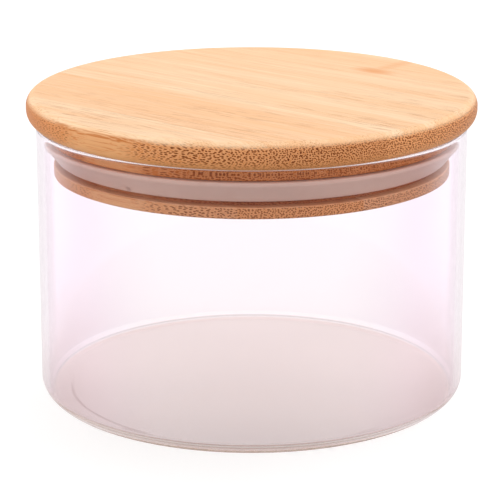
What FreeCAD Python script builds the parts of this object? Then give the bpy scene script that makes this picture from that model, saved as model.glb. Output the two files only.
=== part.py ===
"""A glass food canister with a push-in bamboo lid and a silicone seal, in millimetres.

The origin is the middle of the base, +Z is the axis of the jar, and the viewer stands towards -Y.
Every piece but the lid's strips is a profile of radius and height, turned about +Z. The lid is turned too, and
then parted along its glue lines into the bamboo strips that it is made of.
"""

import FreeCAD, Part
import math
import os

V = FreeCAD.Vector

# Glass jar
jar_diameter = 120.0
jar_height = 78.0
jar_wall = 2.0
jar_floor = 1.8
jar_heel_round = 4.8
jar_corner_width = 1.3
jar_corner_height = 1.6
jar_corner_round = 1.0

# Cap of the lid
cap_overhang = 2.6
cap_thickness = 7.85
cap_upper_round = 3.0
cap_lower_round = 3.9
cap_seat_gap = 0.1

# Plug of the lid, from the cap down: neck, groove, flange
neck_clearance = 1.2
neck_height = 3.4
groove_height = 7.35
groove_depth = 2.85
flange_clearance = 2.75
flange_height = 3.15
plug_chamfer = 0.5

# Silicone seal in the top of the groove
seal_wall_clearance = 0.2
seal_groove_clearance = 0.1
seal_height = 6.0
seal_lip_height = 1.0
seal_foot_inset = 1.0
seal_edge_round = 0.4
seal_foot_round = 1.2
seal_taper_round = 1.2

# Bamboo board that the lid is turned from: the grain's direction from +X, the strips in each ply, the board left
# outside the cap before turning, and how far the middle strip of the cap ply lies from the axis
grain_angle = -40.0
strip_count = 5
turning_allowance = 5.0
middle_strip_shift = -4.0

# Radii and heights that follow from the sizes above
jar_radius = jar_diameter / 2
bore_radius = jar_radius - jar_wall
cap_radius = jar_radius + cap_overhang
cap_bottom = jar_height + cap_seat_gap
cap_top = cap_bottom + cap_thickness
neck_radius = bore_radius - neck_clearance
flange_radius = bore_radius - flange_clearance
groove_radius = flange_radius - groove_depth
groove_top = cap_bottom - neck_height
groove_bottom = groove_top - groove_height
plug_bottom = groove_bottom - flange_height
glue_line = (cap_bottom + plug_bottom) / 2
strip_width = 2 * (cap_radius + turning_allowance) / strip_count
# The middle ply is laid half a strip over, so that no seam lies under another
staggered_shift = middle_strip_shift + strip_width / 2


def turned(corners):
    """The solid turned about +Z by a closed outline of (radius, height, round) corners.

    A round is an arc tangent to both sides, and takes at most half of either side.
    """
    points = [V(radius, 0, height) for radius, height, _ in corners]
    starts = []
    ends = []
    edges = []
    for i, point in enumerate(points):
        back = points[i - 1] - point
        ahead = points[(i + 1) % len(points)] - point
        half_angle = back.getAngle(ahead) / 2
        reach = min(corners[i][2] / math.tan(half_angle), back.Length / 2, ahead.Length / 2)
        back.normalize()
        ahead.normalize()
        starts.append(point + back * reach)
        ends.append(point + ahead * reach)
        if reach > 0:
            radius = reach * math.tan(half_angle)
            inward = (back + ahead).normalize()
            middle = point + inward * (radius / math.sin(half_angle) - radius)
            edges.append(Part.Arc(starts[i], middle, ends[i]).toShape())
        if i > 0 and ends[i - 1].distanceToPoint(starts[i]) > 1e-6:
            edges.append(Part.makeLine(ends[i - 1], starts[i]))
    edges.append(Part.makeLine(ends[-1], starts[0]))
    outline = Part.Wire(Part.__sortEdges__(edges))
    return Part.Face(outline).revolve(V(0, 0, 0), V(0, 0, 1), 360)


def strips(turning, low, high, shift):
    """The strips of one ply of a turning: the part between two heights, parted at its glue seams.

    Seams run along the grain, one strip apart, and lie evenly about the middle of a strip.
    """
    board = strip_count * strip_width
    seams = [shift + (k - strip_count / 2) * strip_width for k in range(1, strip_count)]
    sides = [-board] + seams + [board]
    ply = []
    for left, right in zip(sides, sides[1:]):
        blank = Part.makeBox(2 * board, right - left, high - low, V(-board, left, low))
        blank.rotate(V(0, 0, 0), V(0, 0, 1), grain_angle)
        ply.append(turning.common(blank).Solids[0])
    return ply


def glass_jar():
    """A straight cup with a flat base, a rounded heel, a thicker inner corner and a fire-polished rim."""
    return turned([
        (0, 0, 0),
        (jar_radius, 0, jar_heel_round),
        (jar_radius, jar_height, jar_wall / 2),
        (bore_radius, jar_height, jar_wall / 2),
        (bore_radius, jar_floor + jar_corner_height, jar_corner_round),
        (bore_radius - jar_corner_width, jar_floor, 0),
        (0, jar_floor, 0),
    ])


def seal_ring():
    """A ring that grips the top of the groove and tapers in below its lip, so that the lid goes in easily."""
    high = groove_top - seal_groove_clearance
    low = high - seal_height
    inner = groove_radius + seal_groove_clearance
    lip = bore_radius - seal_wall_clearance
    foot = flange_radius - seal_foot_inset
    return turned([
        (inner, low, seal_edge_round),
        (foot, low, seal_foot_round),
        (lip, high - seal_lip_height, seal_taper_round),
        (lip, high, seal_edge_round),
        (inner, high, seal_edge_round),
    ])


def cap():
    """The disc above the rim, with a round on top and a larger one below."""
    return turned([
        (0, cap_bottom, 0),
        (cap_radius, cap_bottom, cap_lower_round),
        (cap_radius, cap_top, cap_upper_round),
        (0, cap_top, 0),
    ])


def plug():
    """The neck, groove and flange below the cap, with the sharp edges taken off."""
    return turned([
        (0, plug_bottom, 0),
        (flange_radius - plug_chamfer, plug_bottom, 0),
        (flange_radius, plug_bottom + plug_chamfer, 0),
        (flange_radius, groove_bottom - plug_chamfer, 0),
        (flange_radius - plug_chamfer, groove_bottom, 0),
        (groove_radius, groove_bottom, 0),
        (groove_radius, groove_top, 0),
        (neck_radius - plug_chamfer, groove_top, 0),
        (neck_radius, groove_top + plug_chamfer, 0),
        (neck_radius, cap_bottom, 0),
        (0, cap_bottom, 0),
    ])


pieces = {"glass_jar": glass_jar(), "seal_ring": seal_ring()}
plies = {
    "cap_strip": strips(cap(), cap_bottom, cap_top, middle_strip_shift),
    "neck_strip": strips(plug(), glue_line, cap_bottom, staggered_shift),
    "flange_strip": strips(plug(), plug_bottom, glue_line, middle_strip_shift),
}
for name, ply in plies.items():
    for number, strip in enumerate(ply, start=1):
        pieces[f"{name}_{number}"] = strip

os.makedirs("parts", exist_ok=True)
for name, piece in pieces.items():
    piece.exportStep(f"parts/{name}.step")
    print(f"{name}: {piece.Volume / 1000:.2f} cm3, {len(piece.Solids)} solid, valid {piece.isValid()}")
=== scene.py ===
# %% [markdown]
# # A glass food canister with a bamboo lid
# The canister is a straight cup of clear blown glass. Its lid is turned from a board of glued bamboo strips,
# and a white silicone ring in a groove of the lid seals it. This lesson makes each piece as a surface worked
# out with numpy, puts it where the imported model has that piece, and gives it a finish made of shader nodes.

# %% Load the frame
import math
from types import SimpleNamespace

import bmesh
import bpy
import numpy as np
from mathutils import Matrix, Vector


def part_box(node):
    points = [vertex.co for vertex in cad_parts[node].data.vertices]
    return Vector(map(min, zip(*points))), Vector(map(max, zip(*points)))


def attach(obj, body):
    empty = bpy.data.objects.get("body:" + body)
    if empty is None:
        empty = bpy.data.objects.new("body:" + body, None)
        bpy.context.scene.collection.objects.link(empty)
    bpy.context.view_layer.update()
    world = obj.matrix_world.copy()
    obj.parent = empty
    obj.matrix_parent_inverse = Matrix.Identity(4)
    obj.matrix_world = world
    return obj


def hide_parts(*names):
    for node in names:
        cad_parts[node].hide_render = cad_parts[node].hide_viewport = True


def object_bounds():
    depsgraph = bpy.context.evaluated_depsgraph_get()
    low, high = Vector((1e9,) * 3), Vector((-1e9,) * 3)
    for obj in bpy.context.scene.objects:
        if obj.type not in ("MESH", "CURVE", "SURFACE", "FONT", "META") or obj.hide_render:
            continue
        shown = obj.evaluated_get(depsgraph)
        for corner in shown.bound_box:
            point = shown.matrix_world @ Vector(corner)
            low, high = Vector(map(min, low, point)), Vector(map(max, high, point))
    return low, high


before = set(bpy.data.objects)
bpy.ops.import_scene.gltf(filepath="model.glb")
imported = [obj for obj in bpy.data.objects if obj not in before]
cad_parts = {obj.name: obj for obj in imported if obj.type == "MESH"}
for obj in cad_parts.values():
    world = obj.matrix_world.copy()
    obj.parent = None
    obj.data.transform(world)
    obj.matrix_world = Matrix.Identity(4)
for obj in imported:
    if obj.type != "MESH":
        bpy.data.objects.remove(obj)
cad_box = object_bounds()

# %% [markdown]
# ## Camera
# The photograph was taken from a little above the lid with a long lens. A camera could be set by eye, but the
# circles of the rim, the cap and the base fix where it stood, so it is placed by those numbers.

# %% Camera
MM = 0.001
photo_width = 500
camera_back = 637.5 * MM
camera_height = 227.2 * MM
camera_pitch = math.radians(16.395)
camera_lens = 168.82
camera_sensor = 36.0
camera_shift_x = -1.7 / photo_width


def make_camera():
    """A camera in front of the object, towards -Y, tipped down by its pitch."""
    data = bpy.data.cameras.new("photo_camera")
    data.lens = camera_lens
    data.sensor_width = camera_sensor
    data.shift_x = camera_shift_x
    camera = bpy.data.objects.new("photo_camera", data)
    camera.location = (0, -camera_back, camera_height)
    camera.rotation_euler = (math.pi / 2 - camera_pitch, 0, 0)
    bpy.context.scene.collection.objects.link(camera)
    bpy.context.scene.camera = camera


make_camera()
print("camera:", camera_lens, "mm lens,", round(camera_back, 3), "m in front")

# %% [markdown]
# ## Small helpers for nodes
# A finish is a graph of nodes. It could be drawn by hand in the shader editor. These helpers add a node, set
# its options and link or set its inputs in one line, so that the graphs below read like formulas.


# %% Colours and nodes
def srgb(red, green, blue):
    """A colour written as 8-bit sRGB, as the linear RGBA that sockets take."""
    share = np.array([red, green, blue]) / 255
    linear = np.where(share <= 0.04045, share / 12.92, ((share + 0.055) / 1.055) ** 2.4)
    return (*linear.tolist(), 1.0)


def add_node(tree, kind, inputs=(), **settings):
    """A node with its settings made, and its inputs, in order or by name, linked or set."""
    node = tree.nodes.new(kind)
    for name, value in settings.items():
        setattr(node, name, value)
    for key, value in inputs.items() if isinstance(inputs, dict) else enumerate(inputs):
        if isinstance(value, bpy.types.NodeSocket):
            tree.links.new(value, node.inputs[key])
        else:
            node.inputs[key].default_value = value
    return node


def new_material(name):
    """A material with an empty node tree and its output."""
    material = bpy.data.materials.new(name)
    material.use_nodes = True
    tree = material.node_tree
    tree.nodes.clear()
    return material, tree, add_node(tree, "ShaderNodeOutputMaterial")


print("helpers: colours and nodes")

# %% [markdown]
# ## Numbers and vectors
# Math nodes work a finish out point by point. Each could be written in full, but a named step is shorter and
# says what it is for.


# %% Numbers and vectors
def calc(tree, operation, *values):
    """The output of one Math node."""
    return add_node(tree, "ShaderNodeMath", values, operation=operation).outputs[0]


def times(tree, first, second):
    """The product of two values."""
    return calc(tree, "MULTIPLY", first, second)


def vector_calc(tree, operation, *values):
    """The output of one Vector Math node: a number for a length, distance or dot product, else a vector."""
    outputs = add_node(tree, "ShaderNodeVectorMath", values, operation=operation).outputs
    return outputs["Value" if operation in ("LENGTH", "DISTANCE", "DOT_PRODUCT") else "Vector"]


def split(tree, vector):
    """The x, y and z of a vector."""
    return add_node(tree, "ShaderNodeSeparateXYZ", (vector,)).outputs


def axis_distance(tree, place):
    """How far a place lies from the upright axis of the jar and the lid."""
    return vector_calc(tree, "LENGTH", vector_calc(tree, "MULTIPLY", place, (1, 1, 0)))


def object_place(tree):
    """Where a point lies on its piece, in metres."""
    return add_node(tree, "ShaderNodeTexCoord").outputs["Object"]


print("helpers: numbers and vectors")

# %% [markdown]
# ## Ramps, mixes and noise
# Most of a finish is a mask that fades and a colour that it lets in. A Color Ramp does both at once, but Map
# Range and Mix nodes can also take a number from another node at each end.


# %% Ramps, mixes and noise
def even_step(tree, share, start, end):
    """A straight ramp from start to end while share goes from 0 to 1."""
    return add_node(tree, "ShaderNodeMapRange", (share, 0.0, 1.0, start, end)).outputs[0]


def smooth_step(tree, value, low, high, start=0.0, end=1.0):
    """A smooth ramp from start to end while value goes from low to high."""
    inputs = (value, low, high, start, end)
    return add_node(tree, "ShaderNodeMapRange", inputs, interpolation_type="SMOOTHSTEP").outputs[0]


def near_line(tree, value, middle, half, soft):
    """1 where value lies within half of the middle, fading to 0 over the soft width outside that."""
    off = calc(tree, "ABSOLUTE", calc(tree, "SUBTRACT", value, middle))
    return smooth_step(tree, off, half, half + soft, 1.0, 0.0)


def mix_colour(tree, share, first, second):
    """The first colour where share is 0, the second where it is 1."""
    inputs = {0: share, 6: first, 7: second}
    return add_node(tree, "ShaderNodeMix", inputs, data_type="RGBA").outputs[2]


def stretched(tree, vector, along, across):
    """Coordinates with their first axis scaled by along and the other two by across."""
    return vector_calc(tree, "MULTIPLY", vector, (along, across, across))


def noise(tree, vector, detail=2.0, roughness=0.5):
    """Noise from 0 to 1 at scale 1."""
    inputs = {"Vector": vector, "Scale": 1.0, "Detail": detail, "Roughness": roughness}
    return add_node(tree, "ShaderNodeTexNoise", inputs).outputs[0]


print("helpers: ramps, mixes and noise")

# %% [markdown]
# ## World
# The world stands for a white studio. A plain white background would do for the camera, but it would wash the
# lid out and leave clear glass almost invisible. So the world is full white to the camera and through glass,
# softer where it only lights the object, and dim towards the camera's side in reflections, as a studio is
# where the white sheet stands behind the object. Those dim reflections draw the glass.

# %% World
world_light = 0.69
world_dim_side = 0.2
white = (1, 1, 1, 1)


def light_path(tree):
    """Where a ray comes from: the node's outputs, whether it was bent, and whether it was reflected.

    Bent rays met a mirror or glass. Light Path calls a look through glass glossy too, so a true reflection is
    told by its depth.
    """
    path = add_node(tree, "ShaderNodeLightPath").outputs
    bent = calc(tree, "MAXIMUM", path["Is Glossy Ray"], path["Is Transmission Ray"])
    reflected = calc(tree, "GREATER_THAN", path["Glossy Depth"], 0.5)
    return path, bent, reflected


def make_world():
    """A world of strength 1 to the eye and through glass, and of world_light to surfaces.

    A reflected ray gets world_dim_side from the camera's side, and 1 from behind the object and from above.
    """
    world = bpy.data.worlds.new("white_room")
    world.use_nodes = True
    tree = world.node_tree
    tree.nodes.clear()
    direction = split(tree, add_node(tree, "ShaderNodeTexCoord").outputs["Generated"])
    behind = smooth_step(tree, direction[1], -0.3, 0.5, world_dim_side, 1.0)
    above = smooth_step(tree, direction[2], 0.3, 0.8)
    path, bent, reflected = light_path(tree)
    shown = even_step(tree, reflected, 1.0, calc(tree, "MAXIMUM", behind, above))
    light = even_step(tree, bent, world_light, shown)
    strength = calc(tree, "MAXIMUM", path["Is Camera Ray"], light)
    back = add_node(tree, "ShaderNodeBackground", {"Color": white, "Strength": strength})
    output = add_node(tree, "ShaderNodeOutputWorld")
    tree.links.new(back.outputs[0], output.inputs[0])
    bpy.context.scene.world = world


make_world()
print("world:", world_light, "to surfaces")

# %% [markdown]
# ## Floor
# A white sheet that takes the object's shadow. A plain white plane would do, but the jar's base is clear, so
# its colour is the floor's. The sheet glows a little to the camera, so that it melts into the background.
# Through the glass it has a faint rosy tint, with painted light under the jar and painted shade towards its
# front, as the photograph's base is. In reflections it is dim in front of the object and at its sides.

# %% Floor
floor_half = 1.2
floor_front = 160 * MM
floor_drop = 0.02 * MM
floor_glow = 0.62
floor_colour = srgb(184, 183, 183)
floor_dim = (0.1, 0.1, 0.1, 1)
floor_mirrored = (0.68, 0.65, 0.67, 1)
floor_through_glass = (0.99, 0.945, 0.96, 1)
# Under the jar, seen through glass, the brighter glow is painted light and the dim colour painted shade.
floor_under_glass_painted_light = (1.11, 1.09, 1.09, 1)
dim_back = 30 * MM
dim_flank = 60 * MM
dim_slant = 0.5
footprint_inner = 62 * MM
footprint_outer = 70 * MM


def white_floor():
    """Diffuse paper with a glow for camera rays and for rays that glass or a mirror bent.

    The dim part fades from the front edge to dim_back. Past dim_flank to either side its end slants back by
    dim_slant. It holds for reflections, and for looks through glass only within the jar's footprint, where it
    is painted shade. Within the footprint, the glow seen through glass is brighter: painted light.
    """
    material, tree, output = new_material("white_floor")
    path, bent, reflected = light_path(tree)
    place = object_place(tree)
    axes = split(tree, place)
    aside = calc(tree, "SUBTRACT", calc(tree, "ABSOLUTE", axes[0]), dim_flank)
    slant = times(tree, calc(tree, "MAXIMUM", aside, 0.0), dim_slant)
    ahead = calc(tree, "SUBTRACT", axes[1], slant)
    radius = vector_calc(tree, "LENGTH", place)
    under = smooth_step(tree, radius, footprint_inner, footprint_outer, 1.0, 0.0)
    dim = times(tree, bent, smooth_step(tree, ahead, -floor_front, dim_back, 1.0, 0.0))
    dim = times(tree, dim, calc(tree, "MAXIMUM", reflected, under))
    paper = add_node(tree, "ShaderNodeBsdfDiffuse", (mix_colour(tree, dim, floor_colour, floor_dim),))
    through = mix_colour(tree, under, floor_through_glass, floor_under_glass_painted_light)
    shade = mix_colour(tree, path["Is Transmission Ray"], floor_mirrored, through)
    shade = mix_colour(tree, path["Is Camera Ray"], shade, white)
    seen = calc(tree, "MAXIMUM", path["Is Camera Ray"], calc(tree, "SUBTRACT", bent, dim))
    shine = add_node(tree, "ShaderNodeEmission", (shade, times(tree, seen, floor_glow)))
    both = add_node(tree, "ShaderNodeAddShader", (paper.outputs[0], shine.outputs[0]))
    tree.links.new(both.outputs[0], output.inputs[0])
    return material


def make_floor():
    """A flat sheet just under the base, which ends a little in front of the object."""
    corners = np.array([(-1, -1, 0), (1, -1, 0), (1, 1, 0), (-1, 1, 0)]) * floor_half
    corners[:, 1] = np.maximum(corners[:, 1], -floor_front)
    corners[:, 2] = -floor_drop
    mesh = bpy.data.meshes.new("floor")
    mesh.from_pydata(corners.tolist(), [], [(0, 1, 2, 3)])
    mesh.materials.append(white_floor())
    floor = bpy.data.objects.new("floor", mesh)
    bpy.context.scene.collection.objects.link(floor)


make_floor()
print("floor:", 2 * floor_half, "m wide, ends", floor_front, "m in front")

# %% [markdown]
# ## Lamps
# Four soft lamps: a large one above and behind, a weak one in front and a small one at each side. A single
# lamp would leave the lid's edge and the seal too dark. Mirrors and glass don't show them, so no bright
# square sits on the jar. Light goes round inside the glass many times, so it may bounce more often than is
# usual.

# %% Lamps
lamp_target = Vector((0, 0, 40 * MM))
light_bounces = 160
clear_bounces = 24


def make_lamp(name, place, size, power):
    """A square soft lamp that faces the middle of the object."""
    data = bpy.data.lights.new(name, "AREA")
    data.energy = power
    data.size = size
    lamp = bpy.data.objects.new(name, data)
    lamp.location = place
    toward = lamp_target - Vector(place)
    lamp.rotation_euler = toward.to_track_quat("-Z", "Y").to_euler()
    lamp.visible_glossy = False
    lamp.visible_transmission = False
    bpy.context.scene.collection.objects.link(lamp)


make_lamp("top_softbox", place=(0.3, 0.8, 1.8), size=1.8, power=15.2)
make_lamp("front_softbox", place=(-0.1, -1.5, 0.7), size=1.4, power=2.5)
make_lamp("left_softbox", place=(-1.4, -0.4, 0.27), size=0.5, power=7.5)
make_lamp("right_softbox", place=(1.4, -0.4, 0.27), size=0.5, power=7.0)
bpy.context.scene.view_settings.view_transform = "Standard"
tracing = bpy.context.scene.cycles
tracing.max_bounces = light_bounces
tracing.glossy_bounces = light_bounces
tracing.transmission_bounces = light_bounces
tracing.transparent_max_bounces = clear_bounces

# %% [markdown]
# ## Sizes
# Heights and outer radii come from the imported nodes. The rest could be measured on their meshes, but a few
# named sizes of the glass, the plug and the board are easier to read. All are in metres.

# %% Sizes
jar_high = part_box("glass_jar")[1]
seal_low, seal_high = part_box("seal_ring")
cap_low, cap_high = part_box("cap_strip_3")
neck_low, neck_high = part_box("neck_strip_3")
flange_low, flange_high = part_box("flange_strip_3")
jar_radius = round(jar_high.x, 4)
cap_radius = round(cad_box[1].x, 4)
seal_radius = round(seal_high.x, 4)

jar_wall = 2.0 * MM
jar_floor = 1.8 * MM
heel_round = 4.8 * MM
corner_width = 1.3 * MM
corner_height = 1.6 * MM
corner_round = 1.0 * MM
corner_foot_round = 0.1 * MM
bore_radius = jar_radius - jar_wall
corner_radius = bore_radius - corner_width

cap_upper_round = 3.0 * MM
cap_lower_round = 3.9 * MM
neck_clearance = 1.2 * MM
flange_clearance = 2.75 * MM
groove_depth = 2.85 * MM
groove_height = 7.35 * MM
seal_clearance = 0.1 * MM
plug_round = 0.5 * MM
neck_radius = bore_radius - neck_clearance
flange_radius = bore_radius - flange_clearance
groove_radius = flange_radius - groove_depth
groove_top = seal_high.z + seal_clearance
groove_bottom = groove_top - groove_height
print("jar radius", jar_radius, "cap radius", cap_radius, "seal radius", seal_radius)

# %% [markdown]
# ## Surfaces from profiles
# Most of the canister was made by turning, so most of it is a profile carried round the axis. A Screw
# modifier does that too, but here the rounds and the points along them are chosen by formula. A profile is a
# list of corners, each with the radius of its round.

# %% Profiles
same_place = 1e-8


def outline(corners, closed, arc_steps=10, run_steps=10):
    """Points along a profile of (radius, height, round) corners.

    A round is an arc that starts and ends at round / tan(half the corner's angle) from the corner, with its
    centre on the bisector. Straight runs between rounds get points that crowd to their ends as (1 - cos)
    does, so that shading turns on the rounds alone. Repeated points are dropped.
    """
    table = np.array(corners, float)
    point, rounding = table[:, :2], table[:, 2:]
    back = np.roll(point, 1, 0) - point
    ahead = np.roll(point, -1, 0) - point
    back /= np.linalg.norm(back, axis=1, keepdims=True)
    ahead /= np.linalg.norm(ahead, axis=1, keepdims=True)
    half = np.arccos(np.clip((back * ahead).sum(1, keepdims=True), -1, 1)) / 2
    bisector = (back + ahead) / np.linalg.norm(back + ahead, axis=1, keepdims=True)
    start = point + back * rounding / np.tan(half)
    end = point + ahead * rounding / np.tan(half)
    centre = point + bisector * rounding / np.sin(half)
    turn = np.pi - 2 * half
    t = np.linspace(0, 1, arc_steps)
    first = np.sin((1 - t) * turn) / np.sin(turn)
    second = np.sin(t * turn) / np.sin(turn)
    from_start = first[..., None] * (start - centre)[:, None]
    from_end = second[..., None] * (end - centre)[:, None]
    arcs = centre[:, None] + from_start + from_end
    ease = (1 - np.cos(np.pi * np.linspace(0, 1, run_steps)))[1:-1, None] / 2
    runs = end[:, None] + ease * (np.roll(start, -1, 0) - end)[:, None]
    path = np.concatenate([arcs, runs], axis=1).reshape(-1, 2)
    if not closed:
        path = path[: len(path) - (run_steps - 2)]
    step = np.linalg.norm(path - np.roll(path, 1, 0), axis=1)
    step[0] = step[0] if closed else 1
    return path[step > same_place]


print("helpers: profiles")

# %% [markdown]
# ## Meshes from points
# A surface is a grid of points, and its faces join neighbours on the grid. Faces could be made one by one in
# a loop, but whole arrays of point numbers are quicker and leave no gap at the seam.


# %% Meshes from points
def grid_quads(number, wrap_rows=False, wrap_columns=False):
    """Quads between neighbours on a grid of point numbers, joined end to end where it wraps."""
    grid = np.pad(number, ((0, int(wrap_rows)), (0, int(wrap_columns))), mode="wrap")
    corners = (grid[:-1, :-1], grid[:-1, 1:], grid[1:, 1:], grid[1:, :-1])
    return np.stack(corners, -1).reshape(-1, 4).tolist()


def numbered(points):
    """Point numbers in the shape of an array of points."""
    return np.arange(points.size // 3).reshape(points.shape[:-1])


def make_piece(name, points, faces, sharp_degrees=35):
    """A mesh at the origin: doubles merged, faces outwards, smooth but for edges past sharp_degrees."""
    mesh = bpy.data.meshes.new(name)
    mesh.from_pydata(points.reshape(-1, 3).tolist(), [], faces)
    work = bmesh.new()
    work.from_mesh(mesh)
    bmesh.ops.remove_doubles(work, verts=work.verts, dist=same_place)
    bmesh.ops.recalc_face_normals(work, faces=work.faces)
    work.to_mesh(mesh)
    work.free()
    mesh.shade_smooth()
    mesh.set_sharp_from_angle(angle=math.radians(sharp_degrees))
    piece = bpy.data.objects.new(name, mesh)
    bpy.context.scene.collection.objects.link(piece)
    return piece


def turned(profile, segments, swell=None):
    """A profile's points (r, z) carried round the axis to (r cos t, r sin t, z). swell(t, r, z) adds to r."""
    turn = np.linspace(0, 2 * np.pi, segments, endpoint=False)[None, :]
    r, z = profile[:, :1], profile[:, 1:]
    r = r + np.zeros_like(turn)
    if swell is not None:
        r = r + swell(turn, r, z)
    return np.stack([r * np.cos(turn), r * np.sin(turn), z + np.zeros_like(turn)], -1)


print("helpers: meshes from points")

# %% [markdown]
# ## Glass jar
# The jar is blown in one piece, so its rim is melted round and its heel is a soft curve. It could be a Spin
# or a Screw modifier, but a profile turned with numpy keeps the wall exact, and the wall is what bends the
# light.

# %% Glass jar
jar_segments = 288


def jar_profile():
    """From the middle of the inner floor, up the bore, over the rim, down the outside and under the base."""
    return outline(
        [
            (0, jar_floor, 0),
            (corner_radius, jar_floor, corner_foot_round),
            (bore_radius, jar_floor + corner_height, corner_round),
            (bore_radius, jar_high.z, jar_wall / 2),
            (jar_radius, jar_high.z, jar_wall / 2),
            (jar_radius, 0, heel_round),
            (0, 0, 0),
        ],
        closed=False,
        arc_steps=14,
        run_steps=14,
    )


def make_jar():
    """The turned jar: its points on a grid of profile by turn, wrapped round the axis."""
    points = turned(jar_profile(), jar_segments)
    return make_piece("blown_glass_jar", points, grid_quads(numbered(points), wrap_columns=True))


jar = make_jar()
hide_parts("glass_jar")
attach(jar, "jar")
print("jar:", len(jar.data.vertices), "points")

# %% [markdown]
# ## The glass's own colour
# Clear glass shows a colour where the eye looks along the wall. Low on the wall, towards its edges, it is
# darker and pinker. The warm tint in its thick floor is painted shade: it darkens the floor seen through it,
# as the lid's shadow does. At the inner corner, at the heel and round the base it also shows fine lines,
# which are bent images of its own edges, and a broad light band at the heel. Those could come from the
# exact thickness of the glass, but a photograph doesn't give that, so the lines and the band are painted as
# tints at the places where they show. The line round the stand ring is painted contact shadow.

# %% Glass colours
glass_tint = srgb(255, 253, 255)
glass_side = srgb(254, 246, 254)
glass_edge = srgb(214, 206, 212)
glass_low = srgb(222, 206, 209)
# The foot's tint is painted shade, as of the lid's shadow on the floor below.
glass_foot_painted_shade = srgb(244, 231, 227)
glass_stand = srgb(251, 240, 235)
# The stand line's colour is painted contact shadow.
glass_stand_painted_shadow = srgb(200, 172, 164)
glass_corner = srgb(208, 196, 198)
glass_heel = srgb(255, 247, 243)
glass_heel_line = srgb(218, 188, 180)
stand_radius = 51.5 * MM
base_top = 1.0 * MM
mark_soft = 0.2 * MM


def wall_and_floor_colour(tree, height, radius):
    """Clear where the wall is seen straight on, tinted along its edges, darker low down, painted shade in the
    floor.
    """
    facing = add_node(tree, "ShaderNodeLayerWeight", (0.5,)).outputs["Facing"]
    colour = mix_colour(tree, smooth_step(tree, facing, 0.1, 0.45), glass_tint, glass_side)
    colour = mix_colour(tree, smooth_step(tree, facing, 0.68, 0.80), colour, glass_edge)
    low = smooth_step(tree, height, 2 * MM, 28 * MM, 1.0, 0.0)
    colour = mix_colour(tree, times(tree, low, smooth_step(tree, facing, 0.1, 0.6)), colour, glass_low)
    foot = smooth_step(tree, height, jar_floor + 0.1 * MM, jar_floor + 0.6 * MM, 1.0, 0.0)
    inner = smooth_step(tree, radius, corner_radius + 0.1 * MM, corner_radius + 0.5 * MM, 1.0, 0.0)
    return mix_colour(tree, times(tree, foot, inner), colour, glass_foot_painted_shade)


def stand_ring(tree, colour, axes, radius):
    """The ring that the base stands on, with a line of painted contact shadow round its inside, on the
    underside's front left.
    """
    under = calc(tree, "LESS_THAN", axes[2], base_top)
    under = times(tree, under, smooth_step(tree, axes[1], 8 * MM, -20 * MM))
    under = times(tree, under, smooth_step(tree, axes[0], 45 * MM, 15 * MM))
    ring = smooth_step(tree, radius, stand_radius, stand_radius + 0.6 * MM)
    colour = mix_colour(tree, times(tree, under, ring), colour, glass_stand)
    line = near_line(tree, radius, stand_radius, 0.15 * MM, 0.45 * MM)
    return mix_colour(tree, times(tree, under, line), colour, glass_stand_painted_shadow)


def foot_lines(tree, colour, axes, radius):
    """Lines at fixed heights: the corner's at the back of the bore, the heel's at the front outside."""
    inside = calc(tree, "LESS_THAN", radius, bore_radius + 0.1 * MM)
    ahead = smooth_step(tree, axes[1], -8 * MM, -32 * MM)
    back = times(tree, inside, calc(tree, "SUBTRACT", 1.0, ahead))
    front = times(tree, calc(tree, "SUBTRACT", 1.0, inside), ahead)
    marks = (
        (2.05 * MM, 0.10 * MM, back, glass_corner),
        (2.00 * MM, 1.30 * MM, front, glass_heel),
        (2.65 * MM, 0.10 * MM, front, glass_heel_line),
        (3.40 * MM, 0.10 * MM, front, glass_heel_line),
    )
    for middle, half, side, tint in marks:
        mark = near_line(tree, axes[2], middle, half, mark_soft)
        colour = mix_colour(tree, times(tree, mark, side), colour, tint)
    return colour


print("helpers: glass colours")

# %% [markdown]
# ## Glass finish
# Clear glass is a Principled shader with full transmission, a faint ripple and a trace of haze. Glass alone
# would do, but then light inside the jar would be noisy. So light that only passes through to reach a lamp or
# a dull surface goes by a Transparent shader.

# %% Glass finish
glass_pass = srgb(252, 250, 251)
glass_ior = 1.47


def clear_glass():
    """Glass with the slightest unevenness of blown ware in its surface, and its own colour."""
    material, tree, output = new_material("clear_glass")
    place = object_place(tree)
    ripple = noise(tree, stretched(tree, place, 60.0, 60.0), detail=1.0)
    bump = add_node(tree, "ShaderNodeBump", {"Strength": 0.03, "Distance": 0.0004, "Height": ripple})
    haze = smooth_step(tree, noise(tree, stretched(tree, place, 140.0, 140.0)), 0.45, 0.75, 0.0, 0.03)
    axes = split(tree, place)
    radius = axis_distance(tree, place)
    colour = wall_and_floor_colour(tree, axes[2], radius)
    colour = stand_ring(tree, colour, axes, radius)
    colour = foot_lines(tree, colour, axes, radius)
    glass = add_node(
        tree,
        "ShaderNodeBsdfPrincipled",
        {
            "Base Color": colour,
            "Roughness": haze,
            "IOR": glass_ior,
            "Transmission Weight": 1.0,
            "Normal": bump.outputs[0],
        },
    )
    clear = add_node(tree, "ShaderNodeBsdfTransparent", {"Color": glass_pass}).outputs[0]
    path = add_node(tree, "ShaderNodeLightPath").outputs
    inner = add_node(tree, "ShaderNodeMixShader", (path["Is Diffuse Ray"], glass.outputs[0], clear))
    both = add_node(tree, "ShaderNodeMixShader", (path["Is Shadow Ray"], inner.outputs[0], clear))
    tree.links.new(both.outputs[0], output.inputs[0])
    return material


jar.data.materials.append(clear_glass())
print("finish: clear glass")

# %% [markdown]
# ## Silicone seal
# The seal is one moulded ring. Its outer face is upright where it meets the glass and tapers in below, so
# that the lid finds its way into the jar. A shallow dimple low on its face is where the mould was filled. A
# flattened torus would come close, but a turned profile gives the lip and the taper their own sizes.

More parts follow.
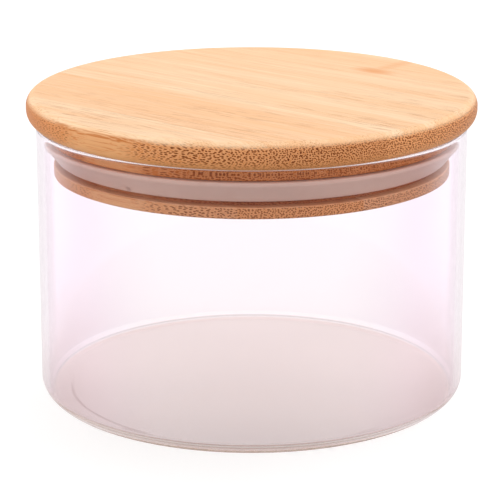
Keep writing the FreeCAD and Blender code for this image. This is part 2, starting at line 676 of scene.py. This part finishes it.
# %% Silicone seal
seal_segments = 420
seal_lip_height = 1.0 * MM
seal_foot = flange_radius - 1.0 * MM
seal_bore = groove_radius + seal_clearance
seal_face_round = 1.2 * MM
seal_edge_round = 0.4 * MM
gate_turn = math.radians(234.5)
gate_height = seal_low.z + 1.2 * MM
gate_width = 1.0 * MM
gate_rise = 0.6 * gate_width
gate_depth = 0.45 * MM


def seal_profile():
    """Once round the ring's section."""
    return outline(
        [
            (seal_bore, seal_low.z, seal_edge_round),
            (seal_foot, seal_low.z, seal_face_round),
            (seal_radius, seal_high.z - seal_lip_height, seal_face_round),
            (seal_radius, seal_high.z, seal_edge_round),
            (seal_bore, seal_high.z, seal_edge_round),
        ],
        closed=True,
        arc_steps=8,
        run_steps=16,
    )


def seal_swell(turn, r, z):
    """A dimple: minus depth times exp(-(around / width)^2 - (up / rise)^2) at the gate, none at the bore."""
    outer = np.clip((r - seal_bore) / (seal_foot - seal_bore), 0, 1)
    around = (turn - gate_turn) * seal_radius
    up = z - gate_height
    return -gate_depth * outer * np.exp(-((around / gate_width) ** 2) - (up / gate_rise) ** 2)


def make_seal():
    """The turned ring, wrapped both ways."""
    points = turned(seal_profile(), seal_segments, seal_swell)
    faces = grid_quads(numbered(points), wrap_rows=True, wrap_columns=True)
    return make_piece("silicone_seal", points, faces, sharp_degrees=60)


seal = make_seal()
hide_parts("seal_ring")
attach(seal, "seal")
print("seal:", len(seal.data.vertices), "points")

# %% [markdown]
# ## Silicone finish
# White silicone is milky: some light goes a little way under its skin and comes out again. A plain dull white
# would look like chalk, so the Principled shader's Subsurface takes a share. Its pinkish tan colours also
# hold painted shade, with the warm bounce of the lid above. The mark at the filling point is painted shade in
# its dimple.

# %% Silicone finish
# These pinkish tan colours are partly painted shade, with warm bounce from the lid.
silicone_shade = srgb(214, 180, 166)
silicone_pale = srgb(222, 190, 176)
# The filling mark's colour is painted shade in the dimple.
gate_painted_shade_brown = srgb(150, 116, 104)
silicone_ior = 1.41


def white_silicone():
    """Milky silicone: soft light under the skin, a satin skin, a faint mottle, and painted shade in its
    colours and at the filling mark.
    """
    material, tree, output = new_material("white_silicone")
    place = object_place(tree)
    mottle = noise(tree, stretched(tree, place, 350.0, 350.0), detail=3.0)
    colour = mix_colour(tree, mottle, silicone_shade, silicone_pale)
    gate = (seal_foot * math.cos(gate_turn), seal_foot * math.sin(gate_turn), gate_height)
    away = vector_calc(tree, "DISTANCE", place, gate)
    mark = smooth_step(tree, away, 0.3 * gate_width, 1.5 * gate_width, 0.6, 0.0)
    colour = mix_colour(tree, mark, colour, gate_painted_shade_brown)
    skin = noise(tree, stretched(tree, place, 3000.0, 3000.0))
    bump = add_node(tree, "ShaderNodeBump", {"Strength": 0.12, "Distance": 0.00005, "Height": skin})
    rubber = add_node(
        tree,
        "ShaderNodeBsdfPrincipled",
        {
            "Base Color": colour,
            "Roughness": smooth_step(tree, mottle, 0.3, 0.7, 0.42, 0.55),
            "IOR": silicone_ior,
            "Subsurface Weight": 0.2,
            "Subsurface Radius": (0.002, 0.0014, 0.0012),
            "Subsurface Scale": 1.0,
            "Normal": bump.outputs[0],
        },
    )
    tree.links.new(rubber.outputs[0], output.inputs[0])
    return material


seal.data.materials.append(white_silicone())
print("finish: silicone")

# %% [markdown]
# ## Bamboo strips
# The lid is a board of bamboo strips, glued edge to edge in three plies and then turned. Each strip is a
# slice of the turned shape between two straight seams. Cutting a turned mesh with planes would work too, but
# a slice has a formula of its own: at every radius of the profile, one side runs along an arc from seam to
# seam, and the other side is its mirror image across the middle of the strip.

# %% Strip surfaces
grain_angle = math.radians(-40)
strip_count = 5
board_margin = 5.0 * MM
strip_width = 2 * (cap_radius + board_margin) / strip_count
glue_gap = 0.04 * MM


def strip_sides(profile, near, far, arc_points=80):
    """The two turned sides of a slice between seams at near and far: an array of level, side, step and xyz.

    A point of the turned shape lies at (a, c) = (r cos f, r sin f), a along the grain and c across it. One
    side runs from f = asin(near / r) to asin(far / r), both kept within a quarter turn. The other side has a
    reversed. Turning by the grain's angle gives x and y.
    """
    r = profile[:, :1]
    first = np.arcsin(np.clip(near / r, -1, 1))
    last = np.arcsin(np.clip(far / r, -1, 1))
    f = first + (last - first) * np.linspace(0, 1, arc_points)[None, :]
    along = np.stack([r * np.cos(f), -r * np.cos(f)], axis=1)
    across = np.stack([r * np.sin(f), r * np.sin(f)], axis=1)
    x = along * math.cos(grain_angle) - across * math.sin(grain_angle)
    y = along * math.sin(grain_angle) + across * math.cos(grain_angle)
    return np.stack([x, y, profile[:, None, 1:] + np.zeros_like(x)], -1)


def make_strip(name, profile, near, far):
    """One strip: its two turned sides, a flat above and below, and a wall along each seam that it has."""
    points = strip_sides(profile, near, far)
    number = numbered(points)
    faces = grid_quads(number[:, 0]) + grid_quads(number[:, 1])
    faces += [[*number[level, 0], *number[level, 1, ::-1]] for level in (0, -1)]
    walls = [end for end, seam in ((0, near), (-1, far)) if abs(seam) < cap_radius]
    faces += [[*number[:, 0, end], *number[::-1, 1, end]] for end in walls]
    return make_piece(name, points, faces, sharp_degrees=30)


def seams(shift):
    """Where the seams lie across the grain, with the ends of the board outside the lid."""
    inner = shift + (np.arange(1, strip_count) - strip_count / 2) * strip_width
    return [-2 * cap_radius, *inner.tolist(), 2 * cap_radius]


print("strips:", strip_count, "of", round(strip_width / MM, 2), "mm")

# %% [markdown]
# ## Plies
# A ply is five strips side by side. Each strip came from another piece of bamboo, so it keeps numbers of its
# own for its tone and its pores. Fifteen materials could hold those, but attributes on the meshes let one
# finish serve a ply.


# %% Plies
def set_values(piece, **values):
    """Numbers that hold for a whole piece, as attributes that its finish can read."""
    for name, value in values.items():
        layer = piece.data.attributes.new(name, "FLOAT", "POINT")
        layer.data.foreach_set("value", np.full(len(piece.data.vertices), value, np.float32))


def make_ply(node, profile, shift, tones, pores, densities, knuckles, first_seed):
    """The strips of one ply, from front to back, each with its tone, its pores, its knuckle and a seed."""
    sides = seams(shift)
    strips = []
    for k in range(strip_count):
        near = sides[k] + glue_gap / 2
        far = sides[k + 1] - glue_gap / 2
        strip = make_strip(f"bamboo_{node}_{k + 1}", profile, near, far)
        set_values(
            strip,
            strip_seed=first_seed + k,
            strip_tone=tones[k],
            strip_pores=pores[k],
            strip_density=densities[k],
            strip_knuckle_along=knuckles[k][0],
            strip_knuckle_across=knuckles[k][1],
        )
        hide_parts(f"{node}_{k + 1}")
        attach(strip, "lid")
        strips.append(strip)
    return strips


print("helpers: plies")

# %% [markdown]
# ## Cap, neck and flange
# Three plies make the lid: the cap that shows above the glass, the neck under it with the upper half of the
# groove, and the flange below. One turned solid would look the same from afar, but the seams and the change
# of grain from strip to strip show on the real lid. Seams are staggered, so that none lies over one in the
# next ply.

# %% Profiles of the plies
flat_edge = 51.0 * MM
cap_profile = outline(
    [
        (flat_edge, cap_high.z, 0),
        (cap_radius, cap_high.z, cap_upper_round),
        (cap_radius, cap_low.z, cap_lower_round),
        (flat_edge, cap_low.z, 0),
    ],
    closed=False,
    arc_steps=14,
)
neck_profile = outline(
    [
        (flat_edge, neck_high.z, 0),
        (neck_radius, neck_high.z, 0),
        (neck_radius, groove_top, plug_round),
        (groove_radius, groove_top, 0),
        (groove_radius, neck_low.z, 0),
        (flat_edge, neck_low.z, 0),
    ],
    closed=False,
)
flange_profile = outline(
    [
        (flat_edge, flange_high.z, 0),
        (groove_radius, flange_high.z, 0),
        (groove_radius, groove_bottom, 0),
        (flange_radius, groove_bottom, plug_round),
        (flange_radius, flange_low.z, plug_round),
        (flat_edge, flange_low.z, 0),
    ],
    closed=False,
)
print("profiles:", len(cap_profile), len(neck_profile), len(flange_profile), "points")

# %% [markdown]
# ## Strips of the plies
# The cap's strips differ in tone, and one holds a knuckle, where the culm had a joint. Random numbers could
# choose all that, but written ones keep each strip as the photograph has it. A knuckle's place is in
# millimetres along and across the grain, and a far one never shows.

# %% Strips of the plies
middle_shift = -4.0 * MM
no_knuckle = (999.0, 999.0)
cap_knuckle = (12.1, 43.2)
cap_strips = make_ply(
    "cap_strip",
    cap_profile,
    middle_shift,
    tones=(0.22, 0.90, 0.00, 0.25, 0.22),
    pores=(0.9, 1.0, 1.0, 0.95, 0.9),
    densities=(1.5, 1.55, 1.4, 1.2, 1.0),
    knuckles=(no_knuckle,) * (strip_count - 1) + (cap_knuckle,),
    first_seed=1.0,
)
# The neck's tone above 1 darkens its edge: painted shade under the cap.
neck_strips = make_ply(
    "neck_strip",
    neck_profile,
    middle_shift + strip_width / 2,
    tones=(1.6,) * strip_count,
    pores=(0.6,) * strip_count,
    densities=(1.5, 1.5, 1.6, 1.6, 1.6),
    knuckles=(no_knuckle,) * strip_count,
    first_seed=11.0,
)
# The flange's tones below 0 make it paler and greyer, partly a painted reflection of the glass in front.
flange_strips = make_ply(
    "flange_strip",
    flange_profile,
    middle_shift,
    tones=(-0.25, -0.08, -0.4, -0.5, -0.3),
    pores=(0.7, 0.75, 0.8, 0.8, 0.7),
    densities=(1.5, 1.5, 1.35, 1.15, 1.1),
    knuckles=(no_knuckle,) * strip_count,
    first_seed=21.0,
)
lid_strips = cap_strips + neck_strips + flange_strips
print("lid:", sum(len(strip.data.polygons) for strip in lid_strips), "faces")

# %% [markdown]
# ## Bamboo grain
# A bamboo strip is a bundle of straight fibres. Along the grain they show as fine streaks with dark dashes.
# Across the grain, at the lid's edge, each bundle is cut and shows as a dark dot with a pale ring. Two
# textures could be painted for that. Here one node group works in grain coordinates, millimetres along and
# across the fibres, so both looks come from the same wood. The next cells build it step by step.

# %% Grain coordinates
strip_numbers = ("Seed", "Tone", "Pores", "Density", "Knuckle Along", "Knuckle Across")
ply_numbers = ("Skin Height", "Skin Depth", "Raw")
seed_step = (31.7, 13.1, 7.3)


def add_sockets(tree):
    """The group's named inputs and outputs.

    Tone: from 0, pale, to 1 and more, deep. Below 0 edges and the painted shade of ledges are paler still.
    The last number says how much painted shade the ledges and the groove's wall get. The skin is the hard
    outside of the culm, given by its height and its depth.
    """
    inputs = {"Place": "Vector", "Facing": "Vector"} | dict.fromkeys(strip_numbers + ply_numbers, "Float")
    outputs = {"Color": "Color", "Roughness": "Float", "Height": "Float"}
    for name, kind in inputs.items():
        tree.interface.new_socket(name, in_out="INPUT", socket_type="NodeSocket" + kind)
    for name, kind in outputs.items():
        tree.interface.new_socket(name, in_out="OUTPUT", socket_type="NodeSocket" + kind)


def lay_grain(tree):
    """Where a point lies in the wood, in millimetres, and which way the surface faces there.

    own: the same place, shifted for each strip by its seed. y: how far back it lies on the lid, in metres.
    end_share: how far the surface faces along the grain. side_share: how far it faces sideways and so cuts
    the bundles.
    """
    given = add_node(tree, "NodeGroupInput").outputs
    mapping = {"Vector": given["Place"], "Rotation": (0, 0, -grain_angle), "Scale": (1 / MM,) * 3}
    grain = add_node(tree, "ShaderNodeMapping", mapping).outputs[0]
    axes = split(tree, grain)
    grain_axis = (math.cos(grain_angle), math.sin(grain_angle), 0)
    lengthways = calc(tree, "ABSOLUTE", vector_calc(tree, "DOT_PRODUCT", given["Facing"], grain_axis))
    upright = split(tree, given["Facing"])[2]
    not_top = smooth_step(tree, upright, 0.85, 0.35)
    not_bottom = smooth_step(tree, upright, -0.98, -0.85)
    return SimpleNamespace(
        given=given,
        along=axes[0],
        across=axes[1],
        height=axes[2],
        own=vector_calc(tree, "MULTIPLY_ADD", given["Seed"], seed_step, grain),
        y=split(tree, given["Place"])[1],
        upright=upright,
        end_share=smooth_step(tree, lengthways, 0.05, 0.9),
        side_share=times(tree, not_top, not_bottom),
    )


print("helpers: grain coordinates,", len(strip_numbers + ply_numbers), "numbers")

# %% [markdown]
# ## Streaks and dashes
# On the face of the board the fibres run as streaks of three widths, and short dark dashes are bundles that
# the plane has opened. A Wave texture would be too even, so each is noise that is drawn out along the grain.


# %% Streaks and dashes
def add_streaks(tree, wood):
    """Noise that is long along the grain, from broad to fine, and dashes in clusters, more to the front."""
    wood.broad = noise(tree, stretched(tree, wood.own, 0.009, 0.20))
    wood.band = noise(tree, stretched(tree, wood.own, 0.007, 0.85))
    wood.fibre = noise(tree, stretched(tree, wood.own, 0.028, 2.4), detail=3.0, roughness=0.65)
    dashes = noise(tree, stretched(tree, wood.own, 0.11, 5.0), detail=1.0)
    clusters = noise(tree, stretched(tree, wood.own, 0.02, 0.12))
    clusters = smooth_step(tree, clusters, 0.35, 0.65, 0.15, 0.75)
    clusters = times(tree, clusters, smooth_step(tree, wood.y, 30 * MM, -40 * MM, 0.4, 1.3))
    wood.dash = times(tree, smooth_step(tree, dashes, 0.56, 0.66), clusters)


print("helpers: streaks")

# %% [markdown]
# ## Pores
# Where the lid's edge cuts the bundles, each shows as a dark core in a pale ring. A Voronoi texture across
# the grain and through the thickness gives one cell to each bundle. There are fewer at the culm's skin and at
# one end of the board, and none to speak of where the grain runs along the edge.

# %% Pores
pore_crowding = 1.25
pore_scatter = 0.75


def add_pores(tree, wood):
    """Masks of the cores and rings of cells, whose section wanders a little along the grain.

    skin: how near the culm's skin is. cut: how far the bundles are cut and not just laid open.
    """
    given = wood.given
    own_axes = split(tree, wood.own)
    wander = noise(tree, stretched(tree, wood.own, 0.02, 0.15), detail=1.0)
    ragged = noise(tree, stretched(tree, wood.own, 0.30, 2.6), detail=1.0)
    across = calc(tree, "MULTIPLY_ADD", ragged, 0.30, own_axes[1])
    across = calc(tree, "MULTIPLY_ADD", wander, 2.0, across)
    through = calc(tree, "MULTIPLY_ADD", ragged, -0.30, own_axes[2])
    section = (times(tree, across, pore_crowding), times(tree, through, pore_crowding))
    section = add_node(tree, "ShaderNodeCombineXYZ", section).outputs[0]
    cells = {"Vector": section, "Scale": given["Density"], "Randomness": pore_scatter}
    cell = add_node(tree, "ShaderNodeTexVoronoi", cells, voronoi_dimensions="2D").outputs["Distance"]
    cell = times(tree, cell, smooth_step(tree, wood.end_share, 0.0, 0.4, 1.4, 1.0))
    above_skin = calc(tree, "SUBTRACT", wood.height, given["Skin Height"])
    wood.skin = smooth_step(tree, above_skin, 0.0, given["Skin Depth"], 1.0, 0.0)
    wood.cut = smooth_step(tree, wood.end_share, 0.01, 0.10, 0.1, 1.0)
    fewer = smooth_step(tree, wood.along, -45.0, 10.0, 0.2, 1.0)
    strength = times(tree, given["Pores"], calc(tree, "MULTIPLY_ADD", wood.skin, -0.65, 1.0))
    strength = times(tree, strength, times(tree, wood.cut, fewer))
    wood.core = times(tree, smooth_step(tree, cell, 0.19, 0.39, 1.0, 0.0), strength)
    pale = calc(tree, "SUBTRACT", smooth_step(tree, cell, 0.34, 0.44), smooth_step(tree, cell, 0.60, 0.80))
    wood.ring = times(tree, times(tree, pale, strength), 0.5)


print("helpers: pores")

# %% [markdown]
# ## Colour of the face
# The board's face is pale, with painted shade that makes it warmer to the back and a painted sheen that makes
# it paler to the front. A Color Ramp over one noise would tie all streaks together, so every streak is mixed
# in by itself. Flat ledges of the plug, inside the jar, get painted shade.

# %% Colour of the face
face_pale = srgb(250, 219, 181)
face_deep = srgb(250, 201, 155)
# The back colour is painted shade, the front colour a painted sheen.
face_back_painted_shade = srgb(252, 200, 142)
face_front_painted_sheen = srgb(255, 234, 206)
face_broad = srgb(248, 191, 136)
face_band = srgb(246, 192, 142)
face_fibre = srgb(240, 182, 132)
dash_brown = srgb(200, 136, 88)
# Ledge colours are painted shade, paler on strips of tone below 0.
ledge_painted_shade_brown = srgb(190, 104, 52)
ledge_painted_shade_pale = srgb(255, 210, 170)


def face_colour(tree, wood):
    """The strip's tone, then painted sheen to the front and painted shade to the back, then streaks from
    broad to fine, then dashes, then painted shade on ledges.
    """
    tone = wood.given["Tone"]
    back_painted_shade_share = smooth_step(tree, wood.y, 15 * MM, 62 * MM, 0.0, 0.25)
    front_painted_sheen_share = smooth_step(tree, wood.y, -25 * MM, -60 * MM, 0.0, 0.10)
    bare = times(tree, wood.given["Raw"], smooth_step(tree, wood.upright, 0.3, 0.8))
    wood.pale_share = times(tree, tone, -1.0)
    colour = mix_colour(tree, tone, face_pale, face_deep)
    colour = mix_colour(tree, back_painted_shade_share, colour, face_back_painted_shade)
    colour = mix_colour(tree, front_painted_sheen_share, colour, face_front_painted_sheen)
    colour = mix_colour(tree, smooth_step(tree, wood.broad, 0.42, 0.66, 0.0, 0.50), colour, face_broad)
    colour = mix_colour(tree, smooth_step(tree, wood.band, 0.40, 0.66, 0.0, 0.28), colour, face_band)
    colour = mix_colour(tree, smooth_step(tree, wood.fibre, 0.40, 0.68, 0.0, 0.48), colour, face_fibre)
    colour = mix_colour(tree, wood.dash, colour, dash_brown)
    return mix_colour(tree, bare, colour, mix_colour(tree, wood.pale_share, ledge_painted_shade_brown, ledge_painted_shade_pale))


print("helpers: face colour")

# %% [markdown]
# ## Colour of the edge
# Cut bundles drink more of the finish, so the edge is browner than the face, and its browns also hold painted
# shade, since upright faces get less light than the top. Where the grain runs along the edge, the bundles lie
# open in long pale patches with brown lines, and a brown streak marks the shoulder. Deep in the groove the
# wood gets painted shade. A second material could hold all this, but then the face and the edge would meet at
# a hard line.

# %% Colour of the edge
# The edge colours are partly painted shade: upright faces are darker than the top.
edge_along = srgb(212, 140, 82)
edge_end = srgb(212, 134, 75)
edge_deep = srgb(174, 88, 8)
edge_broad = srgb(214, 134, 76)
edge_fibre = srgb(208, 130, 76)
patch_pale = srgb(248, 200, 148)
patch_line = srgb(204, 116, 54)
skin_pale = srgb(240, 172, 108)
# The paler, greyer edge of strips with tone below 0 is partly a painted reflection of the glass.
edge_pale = srgb(206, 168, 146)
pore_ring = srgb(240, 182, 132)
pore_core = srgb(96, 36, 6)
# The groove's colour is painted shade.
groove_painted_shade_brown = srgb(146, 68, 28)
shoulder_brown = srgb(188, 108, 46)


def edge_colour(tree, wood):
    """The edge's browns, partly painted shade, and streaks, then patches, skin, a paler strip that is partly
    a painted reflection, rings, cores and painted shade deep in the groove.
    """
    given = wood.given
    patch = calc(tree, "SUBTRACT", 1.0, wood.cut)
    lines = times(tree, patch, smooth_step(tree, wood.fibre, 0.50, 0.66, 0.0, 0.8))
    radius = axis_distance(tree, given["Place"])
    deep = smooth_step(tree, radius, groove_radius + 0.2 * MM, groove_radius + 0.8 * MM, 1.0, 0.0)
    colour = mix_colour(tree, wood.end_share, edge_along, edge_end)
    colour = mix_colour(tree, times(tree, given["Tone"], 0.6), colour, edge_deep)
    colour = mix_colour(tree, smooth_step(tree, wood.broad, 0.35, 0.70, 0.0, 0.4), colour, edge_broad)
    colour = mix_colour(tree, smooth_step(tree, wood.fibre, 0.40, 0.70, 0.0, 0.3), colour, edge_fibre)
    colour = mix_colour(tree, times(tree, patch, 0.45), colour, patch_pale)
    colour = mix_colour(tree, lines, colour, patch_line)
    colour = mix_colour(tree, times(tree, wood.skin, 0.5), colour, skin_pale)
    colour = mix_colour(tree, wood.pale_share, colour, edge_pale)
    colour = mix_colour(tree, wood.ring, colour, pore_ring)
    colour = mix_colour(tree, wood.core, colour, pore_core)
    return mix_colour(tree, times(tree, given["Raw"], deep), colour, groove_painted_shade_brown)


def shoulder_streak(tree, wood, colour):
    """A brown streak on the cap's upper round, where the grain runs along the edge."""
    lower = smooth_step(tree, wood.upright, 0.25, 0.45)
    upper = smooth_step(tree, wood.upright, 0.80, 0.60)
    beside = smooth_step(tree, wood.end_share, 0.03, 0.16, 1.0, 0.0)
    streaky = smooth_step(tree, wood.fibre, 0.40, 0.56, 0.15, 0.8)
    share = times(tree, times(tree, lower, upper), times(tree, beside, streaky))
    return mix_colour(tree, share, colour, shoulder_brown)


print("helpers: edge colour")

# %% [markdown]
# ## Knuckle
# A bamboo culm has a joint every 20 to 40 cm. Where a strip holds one, the board shows an orange stain and a
# faint line across the strip. It could be painted, but two distances from the joint's place in the wood are
# enough.

# %% Knuckle
knuckle_orange = srgb(234, 156, 92)


def knuckle_stain(tree, wood, colour):
    """A stain twice as long as it is wide, and a line across the grain on its far side, both wavering."""
    along = calc(tree, "MULTIPLY_ADD", wood.fibre, 3.0, wood.along)
    across = calc(tree, "MULTIPLY_ADD", wood.broad, 2.0, wood.across)
    beside = calc(tree, "SUBTRACT", along, wood.given["Knuckle Along"])
    aside = calc(tree, "SUBTRACT", across, wood.given["Knuckle Across"])
    place = add_node(tree, "ShaderNodeCombineXYZ", (times(tree, beside, 0.5), aside)).outputs[0]
    stain = smooth_step(tree, vector_calc(tree, "LENGTH", place), 0.2, 5.0, 0.85, 0.0)
    line = smooth_step(tree, calc(tree, "ABSOLUTE", beside), 0.3, 3.5, 0.35, 0.0)
    line = times(tree, line, smooth_step(tree, aside, -3.0, 2.0))
    return mix_colour(tree, calc(tree, "MAXIMUM", stain, line), colour, knuckle_orange)


print("helpers: knuckle")

# %% [markdown]
# ## Bamboo node group
# The steps are joined into one group, which is placed in the finish of each ply. Copies of the nodes in three
# materials would do the same, but a group is changed in one place.


# %% Bamboo node group
def make_bamboo_group():
    """Colour, roughness and height of a bamboo strip: fibres stand up a little, and cut pores are pits."""
    tree = bpy.data.node_groups.new("bamboo_grain", "ShaderNodeTree")
    add_sockets(tree)
    wood = lay_grain(tree)
    add_streaks(tree, wood)
    add_pores(tree, wood)
    face = face_colour(tree, wood)
    colour = mix_colour(tree, wood.side_share, face, edge_colour(tree, wood))
    colour = shoulder_streak(tree, wood, colour)
    colour = knuckle_stain(tree, wood, colour)
    rough = smooth_step(tree, wood.fibre, 0.3, 0.7, 0.44, 0.56)
    pits = times(tree, wood.core, wood.side_share)
    height = calc(tree, "SUBTRACT", times(tree, wood.fibre, 0.4), pits)
    add_node(tree, "NodeGroupOutput", (colour, rough, height))
    return tree


bamboo_group = make_bamboo_group()
print("node group:", len(bamboo_group.nodes), "nodes")

# %% [markdown]
# ## Bamboo finishes
# The cap has a dull clear finish. The neck and the flange, inside the jar, get painted shade on their ledges
# and in the groove. One material could serve all three, but the culm's skin lies at another height in each
# ply, so each has a finish with the group in it.

# %% Bamboo finishes
# How much painted shade the neck's and the flange's ledges and groove wall get.
bare_share = 0.65


def strip_value(socket):
    """The name of the attribute that a strip keeps for a socket of the group."""
    return "strip_" + socket.lower().replace(" ", "_")


def bamboo(name, skin_height, skin_depth, painted_shade_amount):
    """A ply's finish: the shared grain, with the strip's own values and the place of the culm's skin."""
    material, tree, output = new_material(name)
    coordinate = add_node(tree, "ShaderNodeTexCoord").outputs
    values = {
        key: add_node(tree, "ShaderNodeAttribute", attribute_name=strip_value(key)).outputs["Fac"]
        for key in strip_numbers
    }
    values |= {
        "Place": coordinate["Object"],
        "Facing": coordinate["Normal"],
        "Skin Height": skin_height / MM,
        "Skin Depth": skin_depth / MM,
        "Raw": painted_shade_amount,
    }
    grain = add_node(tree, "ShaderNodeGroup", values, node_tree=bamboo_group).outputs
    relief = {"Strength": 0.25, "Distance": 0.0001, "Height": grain["Height"]}
    wood = add_node(
        tree,
        "ShaderNodeBsdfPrincipled",
        {
            "Base Color": grain["Color"],
            "Roughness": grain["Roughness"],
            "Specular IOR Level": 0.2,
            "Normal": add_node(tree, "ShaderNodeBump", relief).outputs[0],
        },
    )
    tree.links.new(wood.outputs[0], output.inputs[0])
    return material


def dress(strips, finish):
    """One finish for all strips of a ply."""
    for strip in strips:
        strip.data.materials.append(finish)


dress(cap_strips, bamboo("bamboo_cap", cap_low.z, 4.0 * MM, 0.0))
dress(neck_strips, bamboo("bamboo_neck", neck_low.z, 2.0 * MM, bare_share))
dress(flange_strips, bamboo("bamboo_flange", flange_low.z - 2.0 * MM, 2.0 * MM, bare_share))
print("finish: bamboo on", len(lid_strips), "strips")
